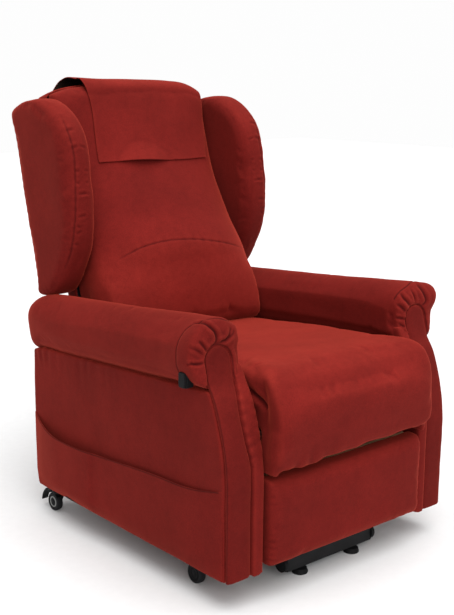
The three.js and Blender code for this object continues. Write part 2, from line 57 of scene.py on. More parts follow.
# Raked front of the arms, as (y, height).
ARM_FRONT = [(-401, 60), (-401, 120), (-401.5, 220), (-401, 315), (-389, 389), (-364, 465), (-339, 509),
             (-327, 552), (-323, 590), (-322, 650)]
LEAN = math.radians(13.6)
HINGE_Y, HINGE_Z = 260, 400
SEAT_HALF, BACK_HALF = 252, 250
WING_IN, WING_OUT = 251, 330
WHEEL_R = 25


# ---- frames -------------------------------------------------------------------------------------
def chair_out(p):
    return (np.asarray(p, float) - [0, DEPTH_MID, 0]) / 1000


def chair_in(co):
    return co * 1000 + [0, DEPTH_MID, 0]


def back_out(p):
    p = np.asarray(p, float)
    x, depth, height = p[..., 0], p[..., 1], p[..., 2]
    y = HINGE_Y + depth * math.cos(LEAN) + height * math.sin(LEAN)
    z = HINGE_Z - depth * math.sin(LEAN) + height * math.cos(LEAN)
    return chair_out(np.stack([x, y, z], axis=-1))


def back_in(co):
    p = chair_in(co)
    y, z = p[:, 1] - HINGE_Y, p[:, 2] - HINGE_Z
    depth = y * math.cos(LEAN) - z * math.sin(LEAN)
    height = y * math.sin(LEAN) + z * math.cos(LEAN)
    return np.stack([p[:, 0], depth, height], axis=-1)


CHAIR = (chair_out, chair_in)
BACK = (back_out, back_in)


# ---- curves and tables --------------------------------------------------------------------------
def spline(points, count):
    """Smooth curve through points, as evenly spaced points."""
    p = np.array(points, float)
    out = []
    for i, (a, b) in enumerate(zip(p, p[1:])):
        before = p[i - 1] if i > 0 else 2 * a - b
        after = p[i + 2] if i + 2 < len(p) else 2 * b - a
        for t in np.linspace(0, 1, 24, endpoint=False):
            out.append(0.5 * (2 * a + (b - before) * t + (2 * before - 5 * a + 4 * b - after) * t ** 2
                              + (3 * a - before - 3 * b + after) * t ** 3))
    out = np.array(out + [p[-1]])
    run = np.concatenate([[0], np.cumsum(np.linalg.norm(np.diff(out, axis=0), axis=1))])
    want = np.linspace(0, run[-1], count)
    return np.stack([np.interp(want, run, out[:, k]) for k in range(out.shape[1])], axis=1)


def even(points, step):
    """Straight stretches round a closed outline, cut about every step."""
    p = np.array(points, float)
    out = []
    for a, b in zip(p, np.roll(p, -1, axis=0)):
        n = max(1, int(round(np.linalg.norm(b - a) / step)))
        out += [a + (b - a) * k / n for k in range(n)]
    return np.array(out)


@lru_cache(maxsize=None)
def fine_rows(rows):
    return spline(sorted(rows), 240)


def table(rows, key):
    """Smooth value of (key, value) rows at a key."""
    fine = fine_rows(tuple(rows))
    return np.interp(key, fine[:, 0], fine[:, 1])


def arm_front_y(z):
    return table([(h, y) for y, h in ARM_FRONT], z)


def seam_z(y):
    """Height of the seam between roll and side panel; it dips at the rear end."""
    y = np.asarray(y, float)
    return 492 - 0.06 * (y + 327) - 14 * np.clip((y - 325) / 60, 0, 1) ** 2


def roll_top_z(y):
    return 645 - 0.076 * (y + 340)


# ---- noise --------------------------------------------------------------------------------------
def lattice(i, j, k, seed):
    h = (i * 374761393 + j * 668265263 + k * 974634777 + seed * 97531) & 0xFFFFFFFF
    h = ((h ^ (h >> 13)) * 1274126177) & 0xFFFFFFFF
    return ((h ^ (h >> 16)) & 0xFFFF) / 32767.5 - 1


def noise(p, size, seed):
    """Smooth noise from -1 to 1 with lumps about size millimetres long; size may differ by direction."""
    q = p / np.asarray(size, float)
    base = np.floor(q).astype(np.int64)
    f = q - base
    u = f * f * (3 - 2 * f)
    total = np.zeros(len(p))
    for a in (0, 1):
        for b in (0, 1):
            for c in (0, 1):
                w = np.where(a, u[:, 0], 1 - u[:, 0]) * np.where(b, u[:, 1], 1 - u[:, 1])
                w = w * np.where(c, u[:, 2], 1 - u[:, 2])
                total += w * lattice(base[:, 0] + a, base[:, 1] + b, base[:, 2] + c, seed)
    return total


# ---- meshes -------------------------------------------------------------------------------------
def link(name, data):
    """A new object round a mesh, camera or light, in the scene."""
    obj = bpy.data.objects.new(name, data)
    bpy.context.scene.collection.objects.link(obj)
    return obj


def from_bmesh(name, bm):
    mesh = bpy.data.meshes.new(name)
    bm.to_mesh(mesh)
    bm.free()
    return link(name, mesh)


def new_object(name, verts, faces):
    mesh = bpy.data.meshes.new(name)
    mesh.from_pydata([tuple(v) for v in verts], [], [tuple(int(i) for i in f) for f in faces])
    mesh.update()
    return link(name, mesh)


def outward(obj):
    bm = bmesh.new()
    bm.from_mesh(obj.data)
    bmesh.ops.remove_doubles(bm, verts=bm.verts, dist=1e-6)
    bmesh.ops.triangulate(bm, faces=[f for f in bm.faces if len(f.verts) > 4])
    bmesh.ops.recalc_face_normals(bm, faces=bm.faces)
    bm.to_mesh(obj.data)
    bm.free()
    return obj


def loft(name, rings, space):
    """Closed skin through rings of equal point count, in millimetres."""
    rings = np.array(rings, float)
    m, n = rings.shape[:2]
    faces = []
    for k in range(m - 1):
        for i in range(n):
            a, b = k * n + i, k * n + (i + 1) % n
            faces.append((a, b, b + n, a + n))
    faces.append(tuple(range(n))[::-1])
    faces.append(tuple((m - 1) * n + i for i in range(n)))
    return outward(new_object(name, space[0](rings.reshape(-1, 3)), faces))


def sheet_solid(name, front, rear, space):
    """Closed thin solid between two grids of points."""
    front, rear = np.array(front, float), np.array(rear, float)
    m, n = front.shape[:2]
    count = m * n
    faces = []
    for k in range(m - 1):
        for i in range(n - 1):
            a = k * n + i
            faces.append((a, a + 1, a + n + 1, a + n))
    outside = len(faces)
    for k in range(m - 1):
        for i in range(n - 1):
            a = count + k * n + i
            faces.append((a, a + n, a + n + 1, a + 1))
    inside = len(faces)
    rim = list(range(n)) + [k * n + n - 1 for k in range(1, m)]
    rim += [(m - 1) * n + i for i in range(n - 2, -1, -1)] + [k * n for k in range(m - 2, 0, -1)]
    for a, b in zip(rim, rim[1:] + rim[:1]):
        faces.append((a, count + a, count + b, b))
    verts = np.concatenate([front.reshape(-1, 3), rear.reshape(-1, 3)])
    obj = new_object(name, space[0](verts), faces)
    for face in obj.data.polygons[outside:inside]:
        face.material_index = 1
    return outward(obj)


def facing_out(points):
    """Outward unit normals of a closed outline."""
    p = np.array(points, float)
    t = np.roll(p, -1, axis=0) - np.roll(p, 1, axis=0)
    t /= np.maximum(np.linalg.norm(t, axis=1, keepdims=True), 1e-9)
    area = 0.5 * np.sum(p[:, 0] * np.roll(p[:, 1], -1) - np.roll(p[:, 0], -1) * p[:, 1])
    return np.stack([t[:, 1], -t[:, 0]], axis=1) * np.sign(area)


def inset(points, amount, share=1.0):
    """A closed outline moved inwards along its own normals."""
    scale = np.broadcast_to(np.asarray(share, float).reshape(-1, 1), (len(points), 1))
    return np.array(points, float) - facing_out(points) * amount * scale


def pad(name, side, x0, x1, rim, space, bend=None, rim_steps=6, steps=24, share=1.0):
    """Side outline (depth, height) spread across x with rounded rims; bend(x, outline) reshapes each ring.

    share is how much of the rim each outline point takes.
    """
    turn = [math.pi / 2 * k / rim_steps for k in range(rim_steps)]
    left = [(x0 + rim * (1 - math.cos(a)), rim * (1 - math.sin(a))) for a in turn]
    middle = [(x, 0) for x in np.linspace(x0 + rim, x1 - rim, steps)]
    right = [(x0 + x1 - x, cut) for x, cut in left[::-1]]
    rings = []
    for x, cut in left + middle + right:
        ring = inset(side, cut, share)
        if bend:
            ring = bend(x, ring)
        rings.append([(x, a, b) for a, b in ring])
    return loft(name, rings, space)


def merge(name, *objs):
    """One object out of several overlapping ones, before a remesh joins them."""
    bm = bmesh.new()
    for obj in objs:
        bm.from_mesh(obj.data)
        bpy.data.objects.remove(obj)
    return from_bmesh(name, bm)


def apply_modifiers(obj):
    bpy.context.view_layer.update()
    depsgraph = bpy.context.evaluated_depsgraph_get()
    mesh = bpy.data.meshes.new_from_object(obj.evaluated_get(depsgraph))
    obj.modifiers.clear()
    obj.data = mesh


def carve(obj, tool):
    mod = obj.modifiers.new("carve", "BOOLEAN")
    mod.operation = "DIFFERENCE"
    mod.object = tool
    mod.solver = "EXACT"
    apply_modifiers(obj)
    bpy.data.objects.remove(tool)


def remesh(obj, size, smooth):
    """Even quads about size millimetres wide, smoothed a few times."""
    mod = obj.modifiers.new("voxels", "REMESH")
    mod.mode = "VOXEL"
    mod.voxel_size = size / 1000
    mod.use_smooth_shade = True
    soft = obj.modifiers.new("smooth", "SMOOTH")
    soft.factor = 0.5
    soft.iterations = smooth
    apply_modifiers(obj)


def subdivide(obj):
    mod = obj.modifiers.new("finer", "SUBSURF")
    mod.levels = mod.render_levels = 1
    apply_modifiers(obj)
    obj.data.shade_smooth()


def read_points(obj):
    co = np.empty(len(obj.data.vertices) * 3)
    obj.data.vertices.foreach_get("co", co)
    return co.reshape(-1, 3)


def write_points(obj, co):
    obj.data.vertices.foreach_set("co", co.ravel())
    obj.data.update()


def read_normals(obj):
    n = np.empty(len(obj.data.vertices) * 3)
    obj.data.vertices.foreach_get("normal", n)
    return n.reshape(-1, 3)


def put_attribute(obj, name, values):
    attribute = obj.data.attributes.new(name, "FLOAT", "POINT")
    attribute.data.foreach_set("value", np.asarray(values, np.float32))


def neighbour_mean(points, a, b, count):
    """Mean of each point's neighbours, where a and b are the two ends of every edge."""
    total = [np.bincount(a, axis[b], len(count)) + np.bincount(b, axis[a], len(count)) for axis in points.T]
    return np.stack(total, axis=1) / count[:, None]


def curvature(obj, rounds):
    """How far each point stands out from its surroundings, in millimetres; hollows are negative."""
    edges = np.empty(len(obj.data.edges) * 2, np.int64)
    obj.data.edges.foreach_get("vertices", edges)
    a, b = edges.reshape(-1, 2).T
    co, normal = read_points(obj), read_normals(obj)
    count = np.maximum(np.bincount(a, minlength=len(co)) + np.bincount(b, minlength=len(co)), 1)
    mean = co
    for _ in range(rounds):
        mean = 0.5 * mean + 0.5 * neighbour_mean(mean, a, b, count)
    return np.sum((co - mean) * normal, axis=1) * 1000


def onto(obj, space, curve):
    """A curve drawn near a piece, moved onto its surface."""
    out = [obj.closest_point_on_mesh(Vector(p))[1] for p in space[0](np.asarray(curve, float))]
    return space[1](np.array([tuple(p) for p in out]))


def stand_off(points, space, target, gap):
    """A grid of points moved out until it clears a piece by gap millimetres."""
    points = np.asarray(points, float)
    out = []
    for p in space[0](points.reshape(-1, 3)):
        p = Vector(p)
        place, normal = target.closest_point_on_mesh(p)[1:3]
        short = gap / 1000 - (p - place).dot(normal)
        if 0 < short < 0.03:
            p = p + normal * short
        out.append(tuple(p))
    return space[1](np.array(out)).reshape(points.shape)


# ---- features: each gives a height in millimetres and a painted shade from 0 to 1 at points ------
def nearest(p, curve):
    """Distance from each point to a curve, the run along it at the nearest place, and its length."""
    curve = np.asarray(curve, float)
    best, run = np.full(len(p), 1e9), np.zeros(len(p))
    travelled = 0.0
    for a, b in zip(curve[:-1], curve[1:]):
        d = b - a
        length = np.linalg.norm(d)
        t = np.clip((p - a) @ d / max(length ** 2, 1e-9), 0, 1)
        away = np.linalg.norm(p - a - t[:, None] * d, axis=1)
        closer = away < best
        best[closer] = away[closer]
        run[closer] = travelled + t[closer] * length
        travelled += length
    return best, run, travelled


def groove(curve, width, depth, dark, fade=0):
    """A sewn line: a groove with painted shade along it, which may fade out over the last millimetres at both
    ends.
    """
    def feature(p):
        d, run, total = nearest(p, curve)
        ease = np.clip(np.minimum(run, total - run) / fade, 0, 1) if fade else 1.0
        line = np.exp(-(d / (0.75 * width)) ** 2)
        return -depth * np.exp(-(d / width) ** 2) * ease, dark * line * ease
    return feature


def crease(curve, width, depth, lip, dark):
    """One fold: a valley with painted shade in it, fading at both ends, with a raised lip along it."""
    smooth = spline(curve, 24)

    def feature(p):
        d, run, total = nearest(p, smooth)
        ease = np.clip(np.sin(math.pi * np.clip(run / total, 0, 1)), 0, 1) ** 0.6
        height = -depth * np.exp(-(d / width) ** 2) + lip * np.exp(-((d - 1.9 * width) / width) ** 2)
        return height * ease, dark * np.exp(-(d / (0.5 * width)) ** 2) * ease
    return feature


def gathers(curve, reach, height, pitch, seed, dark, keep=None):
    """Short folds that start at a seam and run straight away from it, with painted shade in their valleys."""
    def feature(p):
        d, run, _ = nearest(p, curve)
        key = np.stack([run, np.zeros_like(run), np.zeros_like(run)], axis=1)
        phase = run / pitch + 0.45 * noise(key, 2.1 * pitch, seed)
        wave = np.sin(2 * math.pi * phase)
        reach_here = reach * (0.75 + 0.5 * noise(key, 1.7 * pitch, seed + 1))
        strength = np.clip(0.65 + 0.7 * noise(key, 3 * pitch, seed + 2), 0, 1)
        strength = np.exp(-(d / reach_here) ** 1.4) * strength
        if keep is not None:
            strength = strength * keep(p)
        return height * wave * strength, dark * np.clip(-wave, 0, 1) ** 2 * strength
    return feature


def lumps(size, height, seed, keep=None):
    """Unevenness of the filling."""
    def feature(p):
        h = height * noise(p, size, seed)
        if keep is not None:
            h = h * keep(p)
        return h, 0.0 * h
    return feature


def swell(centre, radius, height):
    """A broad soft rise round a point."""
    def feature(p):
        h = height * np.exp(-np.linalg.norm((p - centre) / radius, axis=1) ** 2)
        return h, 0.0 * h
    return feature


def window(axis, low, high, soft):
    """1 between low and high along an axis, fading over soft."""
    def keep(p):
        v = p[:, axis]
        return np.clip((v - low) / soft + 0.5, 0, 1) * np.clip((high - v) / soft + 0.5, 0, 1)
    return keep


def detail(obj, space, *features, painted_highlight=None):
    """Works features into a mesh and stores what the suede needs: painted shade in seams and folds, ridges
    and hollows (rubbed wear, painted highlight and painted shade) and a painted highlight.
    """
    co, normal = read_points(obj), read_normals(obj)
    p = space[1](co)
    lift, dark = np.zeros(len(p)), np.zeros(len(p))
    for feature in features:
        h, d = feature(p)
        lift += h
        dark = np.maximum(dark, d)
    write_points(obj, co + normal * lift[:, None] / 1000)
    # Painted shade in seams, creases and fold valleys, stored on the mesh.
    put_attribute(obj, "seam", dark)
    # Curvature for the suede: ridges paler (rubbed wear and painted highlight), hollows darker (painted
    # shade).
    put_attribute(obj, "wear_and_shade", np.clip(0.5 + 0.35 * curvature(obj, 14), 0, 1))
    # Painted highlight: up-facing parts are painted lighter unless a piece gives its own.
    put_attribute(obj, "painted_highlight", np.clip(read_normals(obj)[:, 2], 0, 1) ** 1.5 if painted_highlight is None else painted_highlight(p))


# ---- cloth simulation ---------------------------------------------------------------------------
CLOTH_FRAMES = 20


def relax(obj, pressure, cap, keep=None):
    """Lets the cover fill like a stuffed piece; no point moves further than cap millimetres.

    keep is how freely each point may move, from 0 to 1.
    """
    before = read_points(obj)
    mod = obj.modifiers.new("cloth", "CLOTH")
    settings = mod.settings
    settings.quality = 4
    settings.mass = 0.3
    settings.effector_weights.gravity = 0
    settings.use_pressure = True
    settings.uniform_pressure_force = pressure
    settings.tension_stiffness = 15
    settings.compression_stiffness = 15
    settings.shear_stiffness = 5
    settings.bending_stiffness = 0.3
    mod.collision_settings.use_collision = False
    scene = bpy.context.scene
    for f in range(1, CLOTH_FRAMES + 1):
        scene.frame_set(f)
    apply_modifiers(obj)
    scene.frame_set(1)
    moved = read_points(obj) - before
    length = np.linalg.norm(moved, axis=1, keepdims=True) * 1000
    moved *= np.minimum(1, cap / np.maximum(length, 1e-9))
    if keep is not None:
        moved *= keep(before)[:, None]
    write_points(obj, before + moved)


# ---- materials ----------------------------------------------------------------------------------
def node_material(name):
    material = bpy.data.materials.new(name)
    material.use_nodes = True
    nodes, links = material.node_tree.nodes, material.node_tree.links
    return material, nodes, links, nodes["Principled BSDF"]


def noise_node(nodes, links, place, scale, detail_level=4.0, stretch=(1, 1, 1), rough=0.6):
    mapping = nodes.new("ShaderNodeMapping")
    mapping.inputs["Scale"].default_value = stretch
    links.new(place.outputs["Object"], mapping.inputs["Vector"])
    tex = nodes.new("ShaderNodeTexNoise")
    tex.inputs["Scale"].default_value = scale
    tex.inputs["Detail"].default_value = detail_level
    tex.inputs["Roughness"].default_value = rough
    links.new(mapping.outputs["Vector"], tex.inputs["Vector"])
    return tex.outputs["Fac"]


def painted(nodes, name):
    """A value stored on the mesh by detail."""
    node = nodes.new("ShaderNodeAttribute")
    node.attribute_name = name
    return node.outputs["Fac"]


def ramp(nodes, links, source, stops):
    node = nodes.new("ShaderNodeValToRGB")
    elements = node.color_ramp.elements
    while len(elements) < len(stops):
        elements.new(0.5)
    for element, (at, colour) in zip(elements, stops):
        element.position = at
        element.color = (*colour, 1)
    links.new(source, node.inputs["Fac"])
    return node.outputs["Color"]


def mix(nodes, links, kind, factor, first, second):
    node = nodes.new("ShaderNodeMix")
    node.data_type = "RGBA"
    node.blend_type = kind
    for socket, value in ((0, factor), (6, first), (7, second)):
        if isinstance(value, bpy.types.NodeSocket):
            links.new(value, node.inputs[socket])
        else:
            node.inputs[socket].default_value = value if socket == 0 else (*value, 1)
    return node.outputs[2]


def tinted(nodes, links, colour, source, stops):
    """A colour multiplied by a ramp of some value."""
    return mix(nodes, links, "MULTIPLY", 1.0, colour, ramp(nodes, links, source, stops))


def grey(v):
    return (v, v, v)


def bump(nodes, links, shader, height, strength, distance, below=None):
    node = nodes.new("ShaderNodeBump")
    node.inputs["Strength"].default_value = strength
    node.inputs["Distance"].default_value = distance
    links.new(height, node.inputs["Height"])
    if below is not None:
        links.new(below, node.inputs["Normal"])
    links.new(node.outputs["Normal"], shader.inputs["Normal"])
    return node.outputs["Normal"]


SUEDE = (0.116, 0.0068, 0.0054)
SEAM_SHADOW = (0.012, 0.0012, 0.0012)


def suede(name, tone=1.0):
    """Brushed pile, mottled where it has been stroked. Ridges are paler (partly rubbed wear, partly painted
    highlight) and hollows darker (painted shade); a painted highlight lightens the parts the mesh marks, and
    painted shade darkens seams and folds.
    """
    material, nodes, links, shader = node_material(name)
    place = nodes.new("ShaderNodeTexCoord")
    broad = noise_node(nodes, links, place, 7, 3)
    patch = noise_node(nodes, links, place, 60, 5, rough=0.65)
    weave = noise_node(nodes, links, place, 330, 3, rough=0.7)
    base = tuple(c * tone for c in SUEDE)
    colour = ramp(nodes, links, patch, [(0.30, tuple(0.90 * c for c in base)), (0.5, base),
                                        (0.72, (1.07 * base[0], 1.12 * base[1], 1.12 * base[2]))])
    colour = tinted(nodes, links, colour, broad, [(0.32, grey(0.88)), (0.68, grey(1.09))])
    colour = tinted(nodes, links, colour, weave, [(0.34, grey(0.86)), (0.66, grey(1.10))])
    # Ridges paler, partly rubbed wear and partly painted highlight; hollows darker, painted shade.
    ridge_wear_and_shade = [(0.15, (0.72, 0.62, 0.66)), (0.5, grey(1.0)), (0.85, (1.18, 1.34, 1.24))]
    colour = tinted(nodes, links, colour, painted(nodes, "wear_and_shade"), ridge_wear_and_shade)
    # Painted highlight, paler and warmer where the mesh marks it.
    highlight_tint = [(0.0, grey(1.0)), (1.0, (1.48, 1.70, 1.56))]
    colour = tinted(nodes, links, colour, painted(nodes, "painted_highlight"), highlight_tint)
    # Painted shade: seams, creases and fold valleys are mixed towards a near-black red.
    colour = mix(nodes, links, "MIX", painted(nodes, "seam"), colour, SEAM_SHADOW)
    links.new(colour, shader.inputs["Base Color"])
    shader.inputs["Roughness"].default_value = 0.92
    shader.inputs["Specular IOR Level"].default_value = 0.08
    shader.inputs["Sheen Weight"].default_value = 0.44
    shader.inputs["Sheen Roughness"].default_value = 0.38
    shader.inputs["Sheen Tint"].default_value = (0.88, 0.11, 0.06, 1)
    first = bump(nodes, links, shader, weave, 0.30, 0.0006)
    bump(nodes, links, shader, patch, 0.25, 0.0012, first)
    return material


def hard(name, colour, roughness, metallic, speckle, scale, depth, gloss=0.3, stretch=(1, 1, 1)):
    """Painted metal, plated metal or moulded plastic, with fine texture and uneven gloss."""
    material, nodes, links, shader = node_material(name)
    place = nodes.new("ShaderNodeTexCoord")
    fine = noise_node(nodes, links, place, scale * 6, 2, stretch)
    blotch = noise_node(nodes, links, place, scale / 6, 4, stretch)
    low = tuple(c * (1 - speckle) for c in colour)
    high = tuple(min(1, c * (1 + speckle) + 0.001) for c in colour)
    links.new(ramp(nodes, links, blotch, [(0.3, low), (0.7, high)]), shader.inputs["Base Color"])
    uneven = [(0.2, grey(max(0.05, roughness - 0.08))), (0.8, grey(roughness + 0.1))]
    links.new(ramp(nodes, links, fine, uneven), shader.inputs["Roughness"])
    shader.inputs["Metallic"].default_value = metallic
    shader.inputs["Specular IOR Level"].default_value = gloss
    bump(nodes, links, shader, fine, 0.25, depth)
    return material


def paint(names, material):
    for name in names:
        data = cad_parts[name].data
        data.materials.clear()
        data.materials.append(material)


def dress(obj, material, body, nodes):
    """Finishes a piece: its material, the body it rides on and what it stands for."""
    obj.data.materials.append(material)
    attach(obj, body)
    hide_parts(*nodes)
    return obj


def dress_pair(left, right, material, body, node):
    for obj, side in ((left, "left"), (right, "right")):
        dress(obj, material, body, [f"{node}_{side}"])


def mirrored(obj, name):
    """The same piece on the other side of the chair."""
    other = link(name, obj.data.copy())
    write_points(other, read_points(other) * [-1, 1, 1])
    other.data.flip_normals()
    return other


# ---- camera -------------------------------------------------------------------------------------
def make_camera():
    data = bpy.data.cameras.new("camera")
    camera = link("camera", data)
    spot = Vector(chair_out((-1754, -2031, 1153)))
    aim = Vector(chair_out((-19, 19, 559)))
    camera.location = spot
    camera.rotation_euler = (aim - spot).to_track_quat("-Z", "Y").to_euler()
    camera.rotation_euler.rotate_axis("Z", math.radians(0.126))
    data.sensor_width = 36
    data.lens = 63.2
    data.shift_x = 0.0067
    data.shift_y = 0.0063
    data.clip_end = 50
    bpy.context.scene.camera = camera


make_camera()

PILE = suede("suede_main")
PILE_FACING = suede("suede_facing", 0.78)
PILE_WING = suede("suede_wing", 0.95)
PILE_COVER = suede("suede_cover")
LINING = hard("lining_cloth_dark", (0.010, 0.006, 0.004), 0.95, 0.0, 0.35, 300, 0.0005, 0.05)


# ---- seat cushion -------------------------------------------------------------------------------
def seat_cushion():
    top = [(225, 463), (168, 475), (47, 487), (-116, 504), (-259, 513), (-351, 516), (-412, 511)]
    front = [(-439, 482), (-454, 436), (-453, 386), (-449, 343), (-444, 316), (-437, 307), (-426, 308),
             (-412, 330), (-405, 391)]
    side = even(np.concatenate([spline(top + front, 90), [(225, 391)]]), 14)

    def bend(x, ring):
        ring = ring.copy()
        up = np.clip((ring[:, 1] - 400) / 100, 0, 1) * np.clip((ring[:, 0] + 470) / 60, 0, 1)
        ring[:, 1] += 4 * (1 - abs(x / SEAT_HALF) ** 3) * up
        low = np.clip((345 - ring[:, 1]) / 30, 0, 1) * np.clip((-395 - ring[:, 0]) / 20, 0, 1)
        hem = np.interp(x, [-216, -152, -87, 52, 221, 250], [4, 0, 6, 11, 11, 18])
        ring[:, 1] += low * (hem + 1.5 * math.sin(x / 21))
        return ring

    share = 1 - 0.55 * np.clip(facing_out(side)[:, 1], 0, 1)
    block = pad("seat_block", side, 0.5 - SEAT_HALF, SEAT_HALF - 0.5, 12, CHAIR, bend, share=share)
    cheek = even([(-432, 299), (-390, 299), (-380, 330), (-378, 402), (-432, 402)], 12)
    cheeks = [pad("cheek", cheek, x, x + 18, 4, CHAIR, steps=3) for x in (-0.5 - SEAT_HALF, SEAT_HALF - 17.5)]
    obj = merge("seat_cushion_cover", block, *cheeks)
    remesh(obj, 6, 4)
    p = chair_in(read_points(obj))
    wide = np.clip((-402 - p[:, 1]) / 22, 0, 1) * np.clip((np.abs(p[:, 0]) - 190) / 60, 0, 1)
    p[:, 0] += np.sign(p[:, 0]) * 6 * wide * np.clip((p[:, 2] - 300) / 40, 0, 1)
    write_points(obj, chair_out(p))
    relax(obj, 4, 8, lambda co: np.clip((chair_in(co)[:, 2] - 345) / 70, 0, 1))
    subdivide(obj)
    on = partial(onto, obj, CHAIR)
    lip = on([(x, -444 + 2 * math.sin(x / 40), 316) for x in np.linspace(-250, 250, 60)])
    detail(
        obj, CHAIR,
        gathers(lip, 34, 1.9, 60, 5, 0.1),
        swell((-240, -350, 516), (60, 80, 40), 12),
        swell((244, -352, 516), (40, 58, 30), 4),
        crease(on([(-252, -338, 480), (-253, -366, 468), (-255, -396, 446)]), 9, 9, 2, 0.75),
        crease(on([(252, -338, 480), (253, -366, 468), (255, -396, 446)]), 8, 5, 1, 0.5),
        lumps((150, 90, 60), 2.2, 11, window(2, 310, 540, 40)),
        lumps((60, 45, 40), 0.7, 12),
    )
    dress(obj, PILE, "chair", ["seat_cushion"])


# ---- backrest -----------------------------------------------------------------------------------
# Front of the back cushion at its sides and along its middle, as (height, depth).
BACK_EDGE = [(56, -108), (74, -113), (110, -118), (150, -114), (189, -102), (231, -77), (305, -36),
             (394, -12), (483, 6), (598, 10), (700, 6), (760, 6)]
BACK_CROWN = [(56, -122), (74, -130), (153, -152), (231, -163), (295, -166), (394, -112), (522, -50),
              (640, -26), (755, -10)]


def cushion_front(x, h):
    t = max(0.0, 1 - (x / BACK_HALF) ** 2) ** 0.6
    edge, crown = table(BACK_EDGE, h), table(BACK_CROWN, h)
    return edge + (crown - edge) * t


def cushion_top(x):
    return 752 - 26 * abs(x / BACK_HALF) ** 4


def back_cushion():
    rings = []
    for x in np.concatenate([[-249.7, -248, -243], np.linspace(-235, 235, 31), [243, 248, 249.7]]):
        top = cushion_top(x)
        tuck = 7 * max(0.0, (abs(x / BACK_HALF) - 0.965) / 0.035) ** 2
        front = [(cushion_front(x, h) + 0.5 + tuck + 14 * np.clip((66 - h) / 8, 0, 1) ** 2, h)
                 for h in np.linspace(58, 700, 48)]
        crown = [(cushion_front(x, 715) + 3 + tuck, top - 24), (5 + tuck * 0.5, top - 8), (20, top - 1),
                 (36, top)]
        rear = [(37, h) for h in np.linspace(top - 14, 78, 30)]
        base = [(d, 56 + 3 * abs(x / BACK_HALF) ** 8)
                for d in np.linspace(20, cushion_front(x, 60) + 22 + tuck, 10)]
        rings.append([(x, d, h) for d, h in front + crown + rear + base])
    obj = loft("back_cushion_cover", rings, BACK)
    remesh(obj, 6.5, 3)
    relax(obj, 4, 6)
    subdivide(obj)
    on = partial(onto, obj, BACK)
    lumbar = [(-214, 262), (-190, 274), (-139, 291), (-73, 298), (1, 293), (78, 281), (132, 271), (190, 258),
              (214, 250)]
    seam = on([(x, cushion_front(x, h), h) for x, h in spline(lumbar, 90)])
    detail(
        obj, BACK,
        groove(seam, 2.6, 1.5, 0.4, 60),
        gathers(seam, 14, 0.7, 34, 3, 0.04),
        lumps((110, 80, 90), 1.8, 21),
        lumps((45, 45, 45), 0.6, 22),
        # Painted highlight: the lumbar band and the top edge are painted lighter, the middle of the back
        # hardly.
        painted_highlight=lambda p: np.interp(p[:, 2], [60, 110, 240, 300, 380, 700, 740],
                                [0.35, 1.0, 1.0, 0.35, 0.1, 0.1, 0.6]),
    )
    dress(obj, PILE, "backrest", ["back_cushion"])
    return obj


# Side outline of a wing, as (depth, height).
WING = [(96, 672), (93, 692), (78, 704), (35, 711), (-4, 709), (-42, 700), (-86, 672), (-121, 634),
        (-143, 588), (-149, 532), (-144, 470), (-135, 404), (-119, 346), (-94, 300), (-58, 259), (-20, 223),
        (15, 203), (48, 199), (76, 201), (93, 207), (96, 222)]
WING_SEAM = [(306, -106, 653), (310, -136, 602), (308, -148, 542), (312, -148, 486), (319, -144, 430),
             (325, -130, 376), (328, -110, 329), (328, -80, 286), (328, -32, 252)]
WING_GATHERS = [[(311, -145, 551), (292, -147, 559)], [(314, -148, 494), (297, -150, 496)],
                [(313, -148, 467), (299, -150, 464)], [(313, -146, 437), (284, -148, 440)],
                [(316, -139, 381), (286, -142, 384)], [(320, -132, 360), (303, -136, 351)],
                [(323, -124, 338), (299, -133, 343)], [(312, -138, 598), (290, -141, 604)],
                [(326, -106, 318), (304, -112, 310)]]


def wings():
    side = even(spline(WING, 110), 11)
    out = facing_out(side)
    share = 0.15 + 0.85 * np.clip(-out[:, 0], 0, 1) + 0.1 * np.clip(-out[:, 1], 0, 1)
    obj = pad("wing_cover_left", side, WING_IN + 0.5, WING_OUT + 0.5, 26, BACK, rim_steps=7, share=share)
    remesh(obj, 5, 3)
    relax(obj, 4, 5)
    subdivide(obj)
    on = partial(onto, obj, BACK)
    seam = on(spline(WING_SEAM, 90))

    def across(curve):
        """The same curve on the wing's inner side."""
        return [(WING_IN + WING_OUT - x, d, h) for x, d, h in curve]

    inner = on(across(spline(WING_SEAM[:7], 60)))
    short = [spline([a, np.add(a, b) / 2, b], 12) for a, b in WING_GATHERS]
    folds = [crease(on(curve), 4.2, 1.3, 0.7, 0.15) for curve in short]
    folds += [crease(on(across(curve)), 3.4, 0.9, 0.5, 0.08) for curve in short[:4]]
    detail(
        obj, BACK,
        groove(seam, 3.2, 1.5, 0.35, 60),
        groove(inner, 5.0, 0.5, 0.05, 60),
        gathers(seam, 15, 0.6, 26, 8, 0.06),
        *folds,
        lumps((60, 90, 120), 1.8, 31),
        lumps((40, 40, 40), 0.5, 32),
    )
    other = mirrored(obj, "wing_cover_right")
    dress_pair(obj, other, PILE_WING, "backrest", "back_wing")


# Head cover: side edges as (height, x), front edge and loop over the top as (x, height).
COVER_LEFT = [(520, -168), (600, -160), (670, -153), (719, -155), (770, -160)]
COVER_RIGHT = [(520, 196), (588, 216), (665, 233), (720, 236), (770, 234)]
COVER_LOW = [(-170, 526), (-80, 526), (15, 522), (105, 520), (200, 525)]
COVER_LOOP = [(-170, 778), (-60, 773), (60, 771), (150, 768), (190, 762), (218, 750), (236, 738)]
COVER_GAP = 4.2
COVER_SKIN = 1.2


